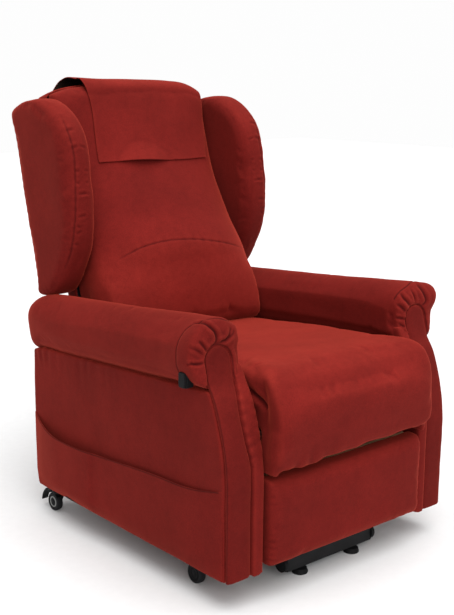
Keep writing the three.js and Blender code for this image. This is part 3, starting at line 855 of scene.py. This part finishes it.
def head_cover(cushion):
    def column(u, side):
        """One strip of the cover, from its front edge up over the top and down behind; u runs from 0 to 1."""
        def x_at(h):
            return table(COVER_LEFT, h) * (1 - u) + table(COVER_RIGHT, h) * u
        low = float(table(COVER_LOW, x_at(522)))
        loop = float(table(COVER_LOOP, x_at(760)))
        loose = 18 * math.sin(math.pi * min(1.0, u / 0.7)) ** 2
        rows = [(cushion_front(x_at(h), h) - COVER_GAP - loose * share, h)
                for h, share in ((low, 1), (560, 0.5), (600, 0.1), (650, 0), (690, 0))]
        rows += [(cushion_front(x_at(718), 700) + 1 - COVER_GAP, min(cushion_top(x_at(718)) - 20, loop - 30)),
                 (8 - COVER_GAP, loop - 19), (27, loop - 13), (45, loop - 6), (66, loop - 1), (84, loop - 1),
                 (98, loop - 7), (104, loop - 22), (104, loop - 36), (99, 706), (94, 680), (93, 652)]
        line = spline(rows, 96)
        along = np.gradient(line, axis=0)
        along /= np.linalg.norm(along, axis=1, keepdims=True)
        flare = [34 * (1 - u) * np.clip((d - 78) / 16, 0, 1) * np.clip((loop + 2 - h) / 38, 0, 1)
                 for d, h in line]
        return [(x_at(h) - f, d - side * t[1], h + side * t[0]) for (d, h), t, f in zip(line, along, flare)]

    us = np.linspace(0, 1, 60)
    outer = stand_off([column(u, COVER_SKIN) for u in us], BACK, cushion, 4.2)
    inner = stand_off([column(u, -COVER_SKIN) for u in us], BACK, cushion, 1.6)
    middle = np.array(column(0.5, 0))
    obj = sheet_solid("head_cover_cloth", outer, inner, BACK)
    subdivide(obj)
    detail(obj, BACK, lumps((70, 60, 70), 0.5, 41))
    dress(obj, PILE_COVER, "backrest", ["head_cover"])
    obj.data.materials.append(LINING)


def back_shell():
    plate = even([(65, -29), (84.5, -29), (84.5, 700), (65, 700)], 12)

    def crown(x, ring):
        ring = ring.copy()
        up = np.clip((ring[:, 1] - 600) / 100, 0, 1)
        ring[:, 1] += up * (cushion_top(x) - 1 - 700)
        return ring

    rear = pad("shell_rear", plate, -249.3, 249.3, 6, BACK, crown, steps=30)
    wall = even([(38.5, 40), (70, 40), (70, 722), (38.5, 722)], 12)
    walls = [pad("shell_wall", wall, x, x + 5.5, 1.5, BACK, steps=3, rim_steps=2) for x in (-249.5, 244)]
    tops = []
    for x in np.linspace(-246, 246, 31):
        top = cushion_top(x)
        lid = even([(38.5, top - 9), (72, top - 9), (72, top - 0.5), (38.5, top + 1)], 5)
        tops.append([(x, d, h) for d, h in lid[:24]])
    count = min(len(row) for row in tops)
    roof = loft("shell_roof", [row[:count] for row in tops], BACK)
    obj = merge("back_shell_cover", rear, *walls, roof)
    remesh(obj, 4, 2)
    obj.data.shade_smooth()
    on = partial(onto, obj, BACK)
    seams = [on([(s * 236, 85, h) for h in np.linspace(-25, 725, 80)]) for s in (-1, 1)]
    zip_line = on([(x, 85, 60) for x in np.linspace(-234, 234, 40)])
    detail(
        obj, BACK,
        *[groove(seam, 4, 1.4, 0.5) for seam in seams],
        groove(zip_line, 3.6, 1.2, 0.5),
        lumps((90, 60, 140), 1.2, 51),
    )
    dress(obj, PILE, "backrest", ["back_shell"])


# ---- arms ---------------------------------------------------------------------------------------
def key_span(z, grow=0.0):
    """Inner and outer edge of the arm-front panel at a height; its head is round and wider than its neck."""
    if z > HEAD_Z:
        half = math.sqrt(max(0.0, (HEAD_R + grow) ** 2 - (z - HEAD_Z) ** 2))
        return HEAD_X - half, HEAD_X + half
    return float(table(KEY_INNER, z)) - grow, KEY_OUT + grow


def key_rows(grow=0.0):
    arc = np.linspace(0, math.pi / 2, 18)[1:]
    return list(np.linspace(SKIRT_Z, HEAD_Z, 90)) + [HEAD_Z + (HEAD_R + grow) * math.sin(a) for a in arc]


def facing_solid(name, front_gap, thick, grow=0.0, crown=0.0):
    us = np.sin(np.linspace(-math.pi / 2, math.pi / 2, 19))
    front, rear = [], []
    for z in key_rows(grow):
        low, high = key_span(z, grow)
        cx, half, y = (low + high) / 2, (high - low) / 2, float(arm_front_y(z))
        front.append([(cx + u * half, y + front_gap + crown * abs(u) ** 5, z) for u in us])
        rear.append([(cx + u * half, y + thick, z) for u in us])
    return sheet_solid(name, front, rear, CHAIR)


def key_edge(offset, depth, low=SKIRT_Z):
    """Line round the arm-front panel, up the outer side, over the head and down the inner side."""
    rows = [z for z in key_rows(offset) if z >= low]
    outer = [(key_span(z, offset)[1], float(arm_front_y(z)) + depth, z) for z in rows]
    inner = [(key_span(z, offset)[0], float(arm_front_y(z)) + depth, z) for z in rows[::-1]]
    return np.array(outer + inner)


def facings():
    obj = facing_solid("arm_facing_cover_left", -0.5, KEY_T - 0.5, -0.5, 5)
    remesh(obj, 3.6, 2)
    subdivide(obj)
    edge = onto(obj, CHAIR, key_edge(-1.2, 4))
    detail(obj, CHAIR, groove(edge, 1.6, 0.5, 0.5), lumps((40, 60, 90), 1.0, 61),
           lumps((25, 25, 25), 0.4, 62))
    other = mirrored(obj, "arm_facing_cover_right")
    dress_pair(obj, other, PILE_FACING, "chair", "arm_facing")


# Sections of an arm roll, as (distance behind its front, size).
ROLL_STATIONS = [(-1, 0.90), (3, 0.965),
                 *[(dy, 1) for dy in (9, 26, 60, 120, 180, 240, 330, 420, 500, 560, 620)], (668, 0.99),
                 (690, 0.955), (704, 0.90), (713, 0.80), (718, 0.66), (720, 0.48)]
BAND_SEAM = [(381, -269, 524), (383, -270, 575), (378, -272, 606), (367, -275, 623), (348, -295, 636),
             (320, -308, 640), (298, -314, 635), (276, -311, 624), (262, -306, 606)]
# Folds at the front of each roll, on the +x side: (curve, width, depth, lip, darkness).
NEAR_FOLDS = [
    ([(351, -326, 576), (333, -324, 589), (327, -323, 601), (331, -322, 617), (342, -319, 630),
      (350, -303, 635), (355, -278, 632)], 4.6, 4.4, 2.4, 0.8),
    ([(371, -318, 603), (361, -324, 589), (351, -326, 575)], 4.2, 3.6, 2.0, 0.6),
    ([(383, -304, 553), (377, -319, 553), (363, -327, 555)], 3.4, 3.2, 1.6, 0.65),
    ([(330, -325, 587), (315, -324, 593), (298, -325, 597), (285, -321, 619)], 4.6, 4.0, 2.2, 0.7),
    ([(301, -325, 595), (284, -322, 603), (277, -320, 613)], 3.6, 2.8, 1.5, 0.5),
    ([(381, -306, 588), (371, -320, 580), (362, -327, 570)], 4.0, 1.8, 1.2, 0.25),
]
FAR_FOLDS = [
    ([(307, -326, 584), (295, -325, 593), (278, -322, 610), (274, -314, 622)], 4.4, 4.0, 2.2, 0.65),
    ([(341, -326, 578), (357, -324, 591), (347, -321, 616), (329, -316, 636)], 4.6, 4.0, 2.2, 0.65),
    ([(262, -314, 595), (271, -323, 587), (288, -326, 572)], 4.0, 3.2, 1.8, 0.5),
    ([(259, -312, 560), (272, -321, 558), (287, -328, 554)], 3.6, 2.8, 1.5, 0.45),
    ([(322, -326, 588), (318, -324, 604), (306, -318, 626)], 3.8, 2.6, 1.6, 0.4),
    ([(281, -333, 538), (270, -334, 541), (259, -326, 548)], 2.6, 1.8, 1.0, 0.35),
    ([(281, -335, 524), (271, -337, 526), (259, -328, 532)], 2.6, 1.8, 1.0, 0.35),
    ([(281, -337, 510), (272, -339, 512), (260, -332, 517)], 2.6, 1.8, 1.0, 0.35),
    ([(281, -339, 497), (272, -341, 498), (260, -336, 502)], 2.6, 1.6, 1.0, 0.3),
]


def roll_section(z_low, z_top, size, swelling):
    """Cross section of an arm roll, square at its lower inner corner, which meets the padded band."""
    cx, half = (ARM_IN + 0.5 + ROLL_OUT) / 2, (ROLL_OUT - ARM_IN) / 2
    mid = z_low + (z_top - z_low) * 0.58
    heart = z_low + (z_top - z_low) * 0.34
    ring = []
    for a in np.linspace(0, 2 * math.pi, 80, endpoint=False):
        c, s = math.cos(a), math.sin(a)
        power = 0.9 if s > 0 else (0.6 if c > 0 else 0.3)
        z = mid + (z_top - mid) * s ** power if s > 0 else mid - (mid - z_low) * (-s) ** power
        x = cx + math.copysign(abs(c) ** power * half, c) * size
        ring.append((x + swelling * max(0.0, c) ** 1.5, heart + (z - heart) * size))
    return ring


def arm_rolls():
    start = float(arm_front_y(HEAD_Z + HEAD_R)) + 3
    rings = []
    for dy, size in ROLL_STATIONS:
        y0 = start + dy
        ring = []
        swelling = 8 * math.exp(-((y0 + 306) / 50) ** 2)
        for x, z in roll_section(float(seam_z(y0)) + 1, roll_top_z(y0), size, swelling):
            y = y0 + max(0.0, 1 - dy / 40) * (float(arm_front_y(z)) + 3 - start)
            low = min(1.0, max(0.0, (562 - z) / 80)) * max(0.0, (dy - 540) / 177.5)
            x -= 9 * low * min(1.0, max(0.0, (x - 300) / 60))
            ring.append((x, y, max(z, float(seam_z(y)) + 1.0)))
        rings.append(ring)
    obj = loft("arm_roll_cover_left", rings, CHAIR)
    carve(obj, facing_solid("key_tool", -70, KEY_T + 0.6, 0.6))
    remesh(obj, 4.6, 3)
    relax(obj, 4, 4)
    subdivide(obj)
    other = mirrored(obj, "arm_roll_cover_right")
    far = [swell((386, -304, 606), (28, 30, 32), 21), swell((384, -296, 570), (20, 26, 30), 7)]
    near = [swell((-264, -312, 616), (14, 16, 14), 6), swell((-262, -318, 590), (12, 14, 12), 4)]
    for piece, flip, folds, swells, seed in ((obj, 1, FAR_FOLDS, far, 71), (other, -1, NEAR_FOLDS, near, 75)):
        def on(curve):
            return onto(piece, CHAIR, spline(curve, 40) * [flip, 1, 1])
        edge = onto(piece, CHAIR, key_edge(1.5, 2, 480) * [flip, 1, 1])
        detail(
            piece, CHAIR,
            groove(on(BAND_SEAM), 2.2, 1.6, 0.75),
            groove(edge, 2.0, 1.0, 0.5),
            gathers(edge, 13, 0.5, 22, seed + 2, 0.08, window(1, -360, -285, 14)),
            *[crease(on(curve), *sizes) for curve, *sizes in folds],
            *swells,
            lumps((50, 160, 50), 1.6, seed),
            lumps((30, 45, 30), 0.6, seed + 1),
            # Painted highlight: the rolls are painted a little lighter all over.
            painted_highlight=lambda p: np.full(len(p), 0.1),
        )
    dress_pair(obj, other, PILE, "chair", "arm_roll")


def side_panels():
    zs = np.linspace(SKIRT_Z, float(seam_z(-335)) - 1.0, 40)
    front = [(float(arm_front_y(z)) + KEY_T + 0.6, z) for z in zs]
    rear = [(340, float(seam_z(340)) + 4), (ARM_REAR - 3, float(seam_z(ARM_REAR)) + 11), (ARM_REAR, 380),
            (ARM_REAR + 3, 240), (ARM_REAR + 4, 124), (ARM_REAR + 1, 104), (ARM_REAR - 7, 88),
            (ARM_REAR - 20, 76), (ARM_REAR - 38, SKIRT_Z)]
    body = pad("side_body", even(front + rear, 12), ARM_IN + 1, ARM_OUT, 4, CHAIR, steps=8, rim_steps=3)
    zs = np.linspace(SKIRT_Z, 540, 44)
    front = [(float(arm_front_y(z)) - 5 + 9 * max(0.0, (z - 495) / 45) ** 2, z) for z in zs]
    band = pad("side_band", even(front + [(-300, zs[-1]), (-300, SKIRT_Z)], 10), ARM_IN + 0.5, 300, 9, CHAIR,
               steps=6, rim_steps=4)
    carve(band, facing_solid("band_tool", -70, KEY_T + 20, 1.0))
    obj = merge("side_panel_cover_left", body, band)
    remesh(obj, 5, 2)
    subdivide(obj)
    on = partial(onto, obj, CHAIR)
    heights = np.linspace(90, 480, 60)
    inner_edge = on([(key_span(z)[0] - 2, float(arm_front_y(z)) - 2, z) for z in heights])
    seat_edge = on([(ARM_IN + 8, float(arm_front_y(z)) - 1, z) for z in heights])
    roll_line = on([(ARM_OUT, y, float(seam_z(y)) - 3) for y in np.linspace(-330, 370, 60)])
    detail(
        obj, CHAIR,
        gathers(inner_edge, 12, 0.7, 24, 14, 0.1, window(2, 300, 500, 60)),
        gathers(seat_edge, 10, 0.7, 29, 15, 0.08, window(2, 330, 500, 60)),
        gathers(roll_line, 70, 0.8, 31, 16, 0.05, window(1, 20, 460, 120)),
        lumps((60, 120, 150), 1.4, 81, window(0, 330, 400, 20)),
        lumps((30, 40, 60), 0.5, 82),
    )
    other = mirrored(obj, "side_panel_cover_right")
    dress_pair(obj, other, PILE, "chair", "side_panel")


# Side pocket: its top edge, how far it stands out there and its lower edge, each along y.
POCKET_EDGE = [(-386, 283), (-275, 262), (-127, 255), (79, 241), (249, 237), (335, 252), (387, 275)]
POCKET_BULGE = [(-386, -0.9), (-374, 1.2), (-330, 4.5), (-275, 7), (-127, 9), (60, 14), (110, 20), (160, 22),
                (205, 21.5), (270, 19), (330, 11), (370, 2.5), (387, -0.9)]
POCKET_LOW = [(-386, 74), (335, 74), (357, 80), (371, 91), (387, 116)]
POCKET_CLOTH = 2.2


def side_pocket():
    ys = np.linspace(-385, 386, 150)

    def grid(depth):
        rows = []
        for y in ys:
            top, out = float(table(POCKET_EDGE, y)), float(table(POCKET_BULGE, y))
            low = float(table(POCKET_LOW, y))
            row = []
            for v in np.linspace(0, 1, 44):
                belly = math.sin(min(1.0, v / 0.24) * math.pi / 2) ** 0.8 if out > 0 else 1.0
                row.append((-(ARM_OUT + 1.4 + out * belly - depth), y, low + (top - low) * v))
            rows.append(row)
        return rows

    obj = sheet_solid("side_pocket_cloth", grid(0), grid(POCKET_CLOTH), CHAIR)
    subdivide(obj)
    lip = onto(obj, CHAIR, [(-392, y, float(table(POCKET_EDGE, y)) + 1) for y in ys[2:-2]])
    detail(obj, CHAIR, groove(lip, 2.2, 0.1, 0.8), lumps((60, 110, 80), 1.0, 91),
           lumps((30, 40, 40), 0.3, 92))
    dress(obj, PILE, "chair", ["side_pocket"])
    obj.data.materials.append(LINING)


# ---- footrest and rear panel --------------------------------------------------------------------
def footrest():
    side = even([(-376, 84), (-376, 289), (-392, 290), (-411, 288), (-420, 279), (-424, 262), (-424, 102),
                 (-419, 86), (-409, 81), (-386, 81)], 8)

    def bend(x, ring):
        ring = ring.copy()
        ring[:, 0] += 5 * abs(x / 254) ** 8 * np.clip((-395 - ring[:, 0]) / 20, 0, 1)
        return ring

    obj = pad("footrest_cover", side, -253.5, 253.5, 10, CHAIR, bend, rim_steps=5, steps=26)
    remesh(obj, 5, 2)
    relax(obj, 4, 4)
    subdivide(obj)
    on = partial(onto, obj, CHAIR)
    rims = [on([(s * 250, -420, z) for z in np.linspace(84, 288, 30)]) for s in (-1, 1)]
    detail(obj, CHAIR, gathers(rims[0], 12, 1.3, 17, 17, 0.2), gathers(rims[1], 10, 1.1, 19, 18, 0.16),
           lumps((120, 60, 70), 1.6, 101), lumps((40, 40, 40), 0.5, 102))
    dress(obj, PILE, "footrest", ["legrest_panel"])


def rear_panel():
    side = even([(352.5, 76), (363.5, 76), (363.5, 330), (361, 334.5), (355, 334.5), (352.5, 330)], 8)
    obj = pad("rear_panel_cover", side, -254.5, 254.5, 3, CHAIR, steps=30, rim_steps=3)
    remesh(obj, 5, 1)
    subdivide(obj)
    detail(obj, CHAIR, lumps((80, 60, 60), 0.8, 111))
    dress(obj, PILE, "chair", ["rear_panel"])


# ---- stage --------------------------------------------------------------------------------------
def floor():
    bm = bmesh.new()
    bmesh.ops.create_grid(bm, x_segments=40, y_segments=40, size=12)
    obj = from_bmesh("floor", bm)
    material, nodes, links, shader = node_material("floor_pale")
    place = nodes.new("ShaderNodeTexCoord")
    speck = noise_node(nodes, links, place, 40, 3)
    links.new(ramp(nodes, links, speck, [(0.3, grey(0.66)), (0.7, grey(0.68))]), shader.inputs["Base Color"])
    shader.inputs["Roughness"].default_value = 0.9
    shader.inputs["Specular IOR Level"].default_value = 0.1
    obj.data.materials.append(material)


def lights():
    world = bpy.data.worlds.new("studio")
    bpy.context.scene.world = world
    world.use_nodes = True
    nodes, links = world.node_tree.nodes, world.node_tree.links
    background = nodes["Background"]
    background.inputs["Color"].default_value = (1, 1, 1, 1)
    seen, lit = 0.985, 0.50
    path = nodes.new("ShaderNodeLightPath")
    strength = nodes.new("ShaderNodeMath")
    strength.operation = "MULTIPLY_ADD"
    links.new(path.outputs["Is Camera Ray"], strength.inputs[0])
    strength.inputs[1].default_value = seen - lit
    strength.inputs[2].default_value = lit
    links.new(strength.outputs[0], background.inputs["Strength"])
    for name, energy, spread, direction in (("softbox_top", 3.3, 60, (-0.05, -0.2, 0.98)),
                                            ("softbox_front", 1.8, 50, (-0.35, -0.8, 0.49))):
        data = bpy.data.lights.new(name, "SUN")
        data.energy = energy
        data.angle = math.radians(spread)
        sun = link(name, data)
        sun.rotation_euler = Vector(direction).to_track_quat("Z", "Y").to_euler()
    bpy.context.scene.view_settings.view_transform = "Standard"


floor()
lights()
seat_cushion()
head_cover(back_cushion())
wings()
back_shell()
facings()
arm_rolls()
side_panels()
side_pocket()
footrest()
rear_panel()

# ---- hard parts ---------------------------------------------------------------------------------
BLACK_STEEL = hard("black_powder_coat", (0.0055, 0.0055, 0.0062), 0.5, 0.0, 0.3, 220, 0.0002, 0.14)
BRIGHT_STEEL = hard("zinc_plate", (0.55, 0.55, 0.53), 0.32, 1.0, 0.12, 160, 0.0001, 0.5, (1, 6, 1))
BLACK_PLASTIC = hard("black_plastic", (0.0045, 0.0045, 0.005), 0.55, 0.0, 0.3, 260, 0.00015, 0.1)
GREY_PLASTIC = hard("grey_plastic", (0.19, 0.19, 0.185), 0.55, 0.0, 0.15, 260, 0.00015)
RUBBER = hard("tyre_rubber", (0.008, 0.008, 0.009), 0.75, 0.0, 0.3, 200, 0.0003, 0.2)
BIRCH = hard("birch_ply", (0.48, 0.33, 0.18), 0.7, 0.0, 0.35, 60, 0.0003, 0.3, (0.15, 4, 4))
WEBBING = hard("lining_cloth", (0.035, 0.014, 0.012), 0.95, 0.0, 0.35, 300, 0.0005, 0.1)

# Half profile of a caster wheel from its middle outwards: (radius, half width, which of its materials).
WHEEL = [(0, 8.4, 0), (4.5, 8.4, 0), (5.5, 7.4, 0), (11.5, 7.4, 1), (12.2, 8.6, 1), (14.3, 8.6, 1),
         (15.0, 7.2, 0), (18, 7.2, 0), (18.8, 8.8, 2), (21.6, 9, 2), (23.6, 8, 2), (24.7, 5, 2),
         (WHEEL_R, 0, 2)]


def wheel(end, side, x, y):
    profile = WHEEL + [(r, -w, m) for r, w, m in WHEEL[-2::-1]]
    bm = bmesh.new()
    turns = 48
    rows = []
    for radius, half, _ in profile:
        angles = [2 * math.pi * k / turns for k in range(turns if radius else 1)]
        ring = [(x + half, y + radius * math.cos(a), WHEEL_R + radius * math.sin(a)) for a in angles]
        rows.append([bm.verts.new(chair_out(p)) for p in ring])
    for a, b, (_, _, index) in zip(rows, rows[1:], profile[1:]):
        for k in range(turns):
            corners = [a[k % len(a)], a[(k + 1) % len(a)], b[(k + 1) % len(b)], b[k % len(b)]]
            face = bm.faces.new(list(dict.fromkeys(corners)))
            face.material_index = index
            face.smooth = True
    bmesh.ops.recalc_face_normals(bm, faces=bm.faces)
    obj = from_bmesh(f"wheel_trim_{end}_{side}", bm)
    dress(obj, BLACK_PLASTIC, f"wheel_{end}_{side}", [f"caster_wheel_{end}_{side}"])
    obj.data.materials.append(GREY_PLASTIC if end == "rear" else BLACK_PLASTIC)
    obj.data.materials.append(RUBBER)


def disc(name, x, y, z0, z1, radius):
    turns = np.linspace(0, 2 * math.pi, 32, endpoint=False)
    rings = [[(x + r * math.cos(a), y + r * math.sin(a), z) for a in turns]
             for r, z in ((radius - 1, z0), (radius, z0 + 1), (radius, z1 - 1), (radius - 1, z1))]
    return loft(name, rings, CHAIR)


def fork(end, side, sign, x, swivel_y, wheel_y):
    """Caster fork: a cheek on the inner side of the wheel, a hood over it and a swivel head."""
    cheek = [(swivel_y - 9, 60), (swivel_y - 9, 52), (wheel_y - 9, 22), (wheel_y - 4, 17), (wheel_y + 4, 17),
             (wheel_y + 9, 22), (wheel_y + 13, 50), (wheel_y + 13, 60)]
    arc = [math.radians(a) for a in np.linspace(38, 128, 14)]
    hood = [(wheel_y - r * math.cos(a), WHEEL_R + r * math.sin(a))
            for r, run in ((WHEEL_R + 6, arc), (WHEEL_R + 1.5, arc[::-1])) for a in run]
    x0 = sign * x + (-14 if sign > 0 else 10)
    parts = [
        pad("cheek", cheek, x0, x0 + 4, 1, CHAIR, rim_steps=2, steps=3),
        pad("hood", hood, sign * x - 11.5, sign * x + 11.5, 1.5, CHAIR, rim_steps=3, steps=6),
        disc("head", sign * x, swivel_y, 56, 70, 17),
    ]
    obj = merge(f"caster_fork_cover_{end}_{side}", *parts)
    dress(obj, BLACK_PLASTIC, f"caster_{end}_{side}", [f"caster_fork_{end}_{side}"])


def pedal(side, x, wheel_y):
    """Curved brake lever behind a rear caster."""
    upper = spline([(2, 61), (20, 60), (38, 51), (51, 35), (57, 17)], 16)
    lower = spline([(2, 54), (18, 54), (33, 46), (46, 31), (54, 16)], 16)
    outline = np.concatenate([upper, lower[::-1]]) + [wheel_y, 0]
    obj = pad(f"brake_pedal_cover_{side}", outline, x - 9.5, x + 9.5, 2, CHAIR, rim_steps=3, steps=5)
    obj.data.shade_smooth()
    dress(obj, BLACK_PLASTIC, f"pedal_{side}", [f"brake_pedal_{side}"])


for side, sign in (("left", 1), ("right", -1)):
    for end, x, swivel_y, wheel_y in (("front", 309, -250, -232), ("rear", 333, 326, 344)):
        wheel(end, side, sign * x, wheel_y)
        fork(end, side, sign, x, swivel_y, wheel_y)
    pedal(side, sign * 333, 344)


def rounded(y0, y1, z0, z1, radius):
    """Rounded rectangle in a vertical plane."""
    out = []
    corners = ((y1 - radius, z1 - radius), (y0 + radius, z1 - radius), (y0 + radius, z0 + radius),
               (y1 - radius, z0 + radius))
    for (cy, cz), turn in zip(corners, (0, 90, 180, 270)):
        for a in np.radians(turn + np.linspace(0, 90, 6)):
            out.append((cy + radius * math.cos(a), cz + radius * math.sin(a)))
    return out


def handset_clip():
    """Hanger under the roll on the sitter's right, with a rim round it."""
    y0, y1, z0, z1 = -296, -275, 496, 530
    holder = pad("handset_clip_holder", rounded(y0, y1, z0, z1, 5), -393, -368, 2, CHAIR,
                 rim_steps=4, steps=4)
    rim = pad("handset_clip_rim", rounded(y0 - 1.5, y1 + 1.5, z0 - 1.5, z1 + 1.5, 6), -386, -368, 1, CHAIR,
              rim_steps=3, steps=4)
    for obj in (holder, rim):
        dress(obj, BLACK_PLASTIC, "chair", ["handset_clip"])


handset_clip()


def pair(*names):
    return [f"{name}_{side}" for name in names for side in ("left", "right")]


ACTUATORS = ("lift", "recline", "legrest")
FINISHES = [
    (BLACK_STEEL, ["base_frame", "lift_arm_front", "subframe", "back_frame", "legrest_cross_tube",
                   *pair("lift_arm_rear", "lift_hanger", "legrest_arm", "legrest_coupler", "legrest_guide")]),
    (BRIGHT_STEEL, ["front_shaft", *[f"{name}_actuator_rod" for name in ACTUATORS]]),
    (BLACK_PLASTIC, ["control_box", "handset_shell", *pair("crossbar_cap", "glide_front", "glide_rear"),
                     *[f"{name}_actuator_housing" for name in ACTUATORS]]),
    (GREY_PLASTIC, ["handset_button_up", "handset_button_down"]),
    (BIRCH, ["legrest_board"]),
    (WEBBING, ["seat_deck"]),
]
for finish, names in FINISHES:
    paint(names, finish)
